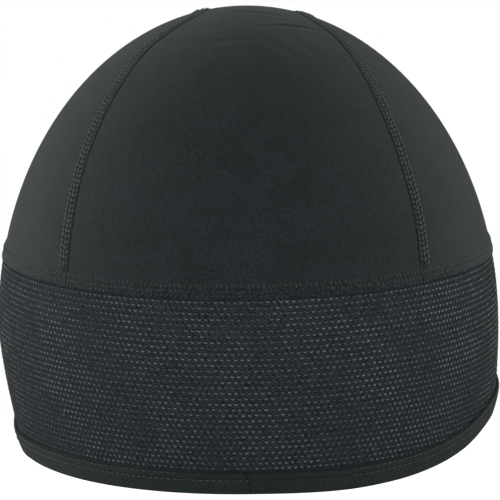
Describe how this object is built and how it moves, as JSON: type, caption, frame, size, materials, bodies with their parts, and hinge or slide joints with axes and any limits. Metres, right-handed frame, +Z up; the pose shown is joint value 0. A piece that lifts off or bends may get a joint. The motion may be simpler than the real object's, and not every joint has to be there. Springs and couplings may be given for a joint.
{
  "type": "helmet liner cap",
  "caption": "Thin stretch skull cap worn under a helmet, with a three-panel knit crown, flatlock seams, a deep eyelet-mesh band and a bound hem.",
  "frame": {"origin": "inside of the crown's top, where the top of a head touches it", "axes": "+Z up, -Y towards the back of the cap, which the picture shows, +X to the wearer's right seen from behind"},
  "size_m": [0.1572, 0.197, 0.1382],
  "materials": {
    "crown_knit": "matt warp-knit stretch jersey, charcoal",
    "seam_thread": "matt flatlock stitching, charcoal",
    "mesh_knit": "matt eyelet mesh knit, near black",
    "binding_knit": "matt folded knit binding, near black"
  },
  "bodies": {
    "root": {"crown_centre": "crown_knit", "crown_left": "crown_knit", "crown_right": "crown_knit", "crown_seam_left": "seam_thread", "crown_seam_right": "seam_thread", "band_seam": "seam_thread", "mesh_band": "mesh_knit", "hem_binding": "binding_knit"}
  },
  "joints": []
}
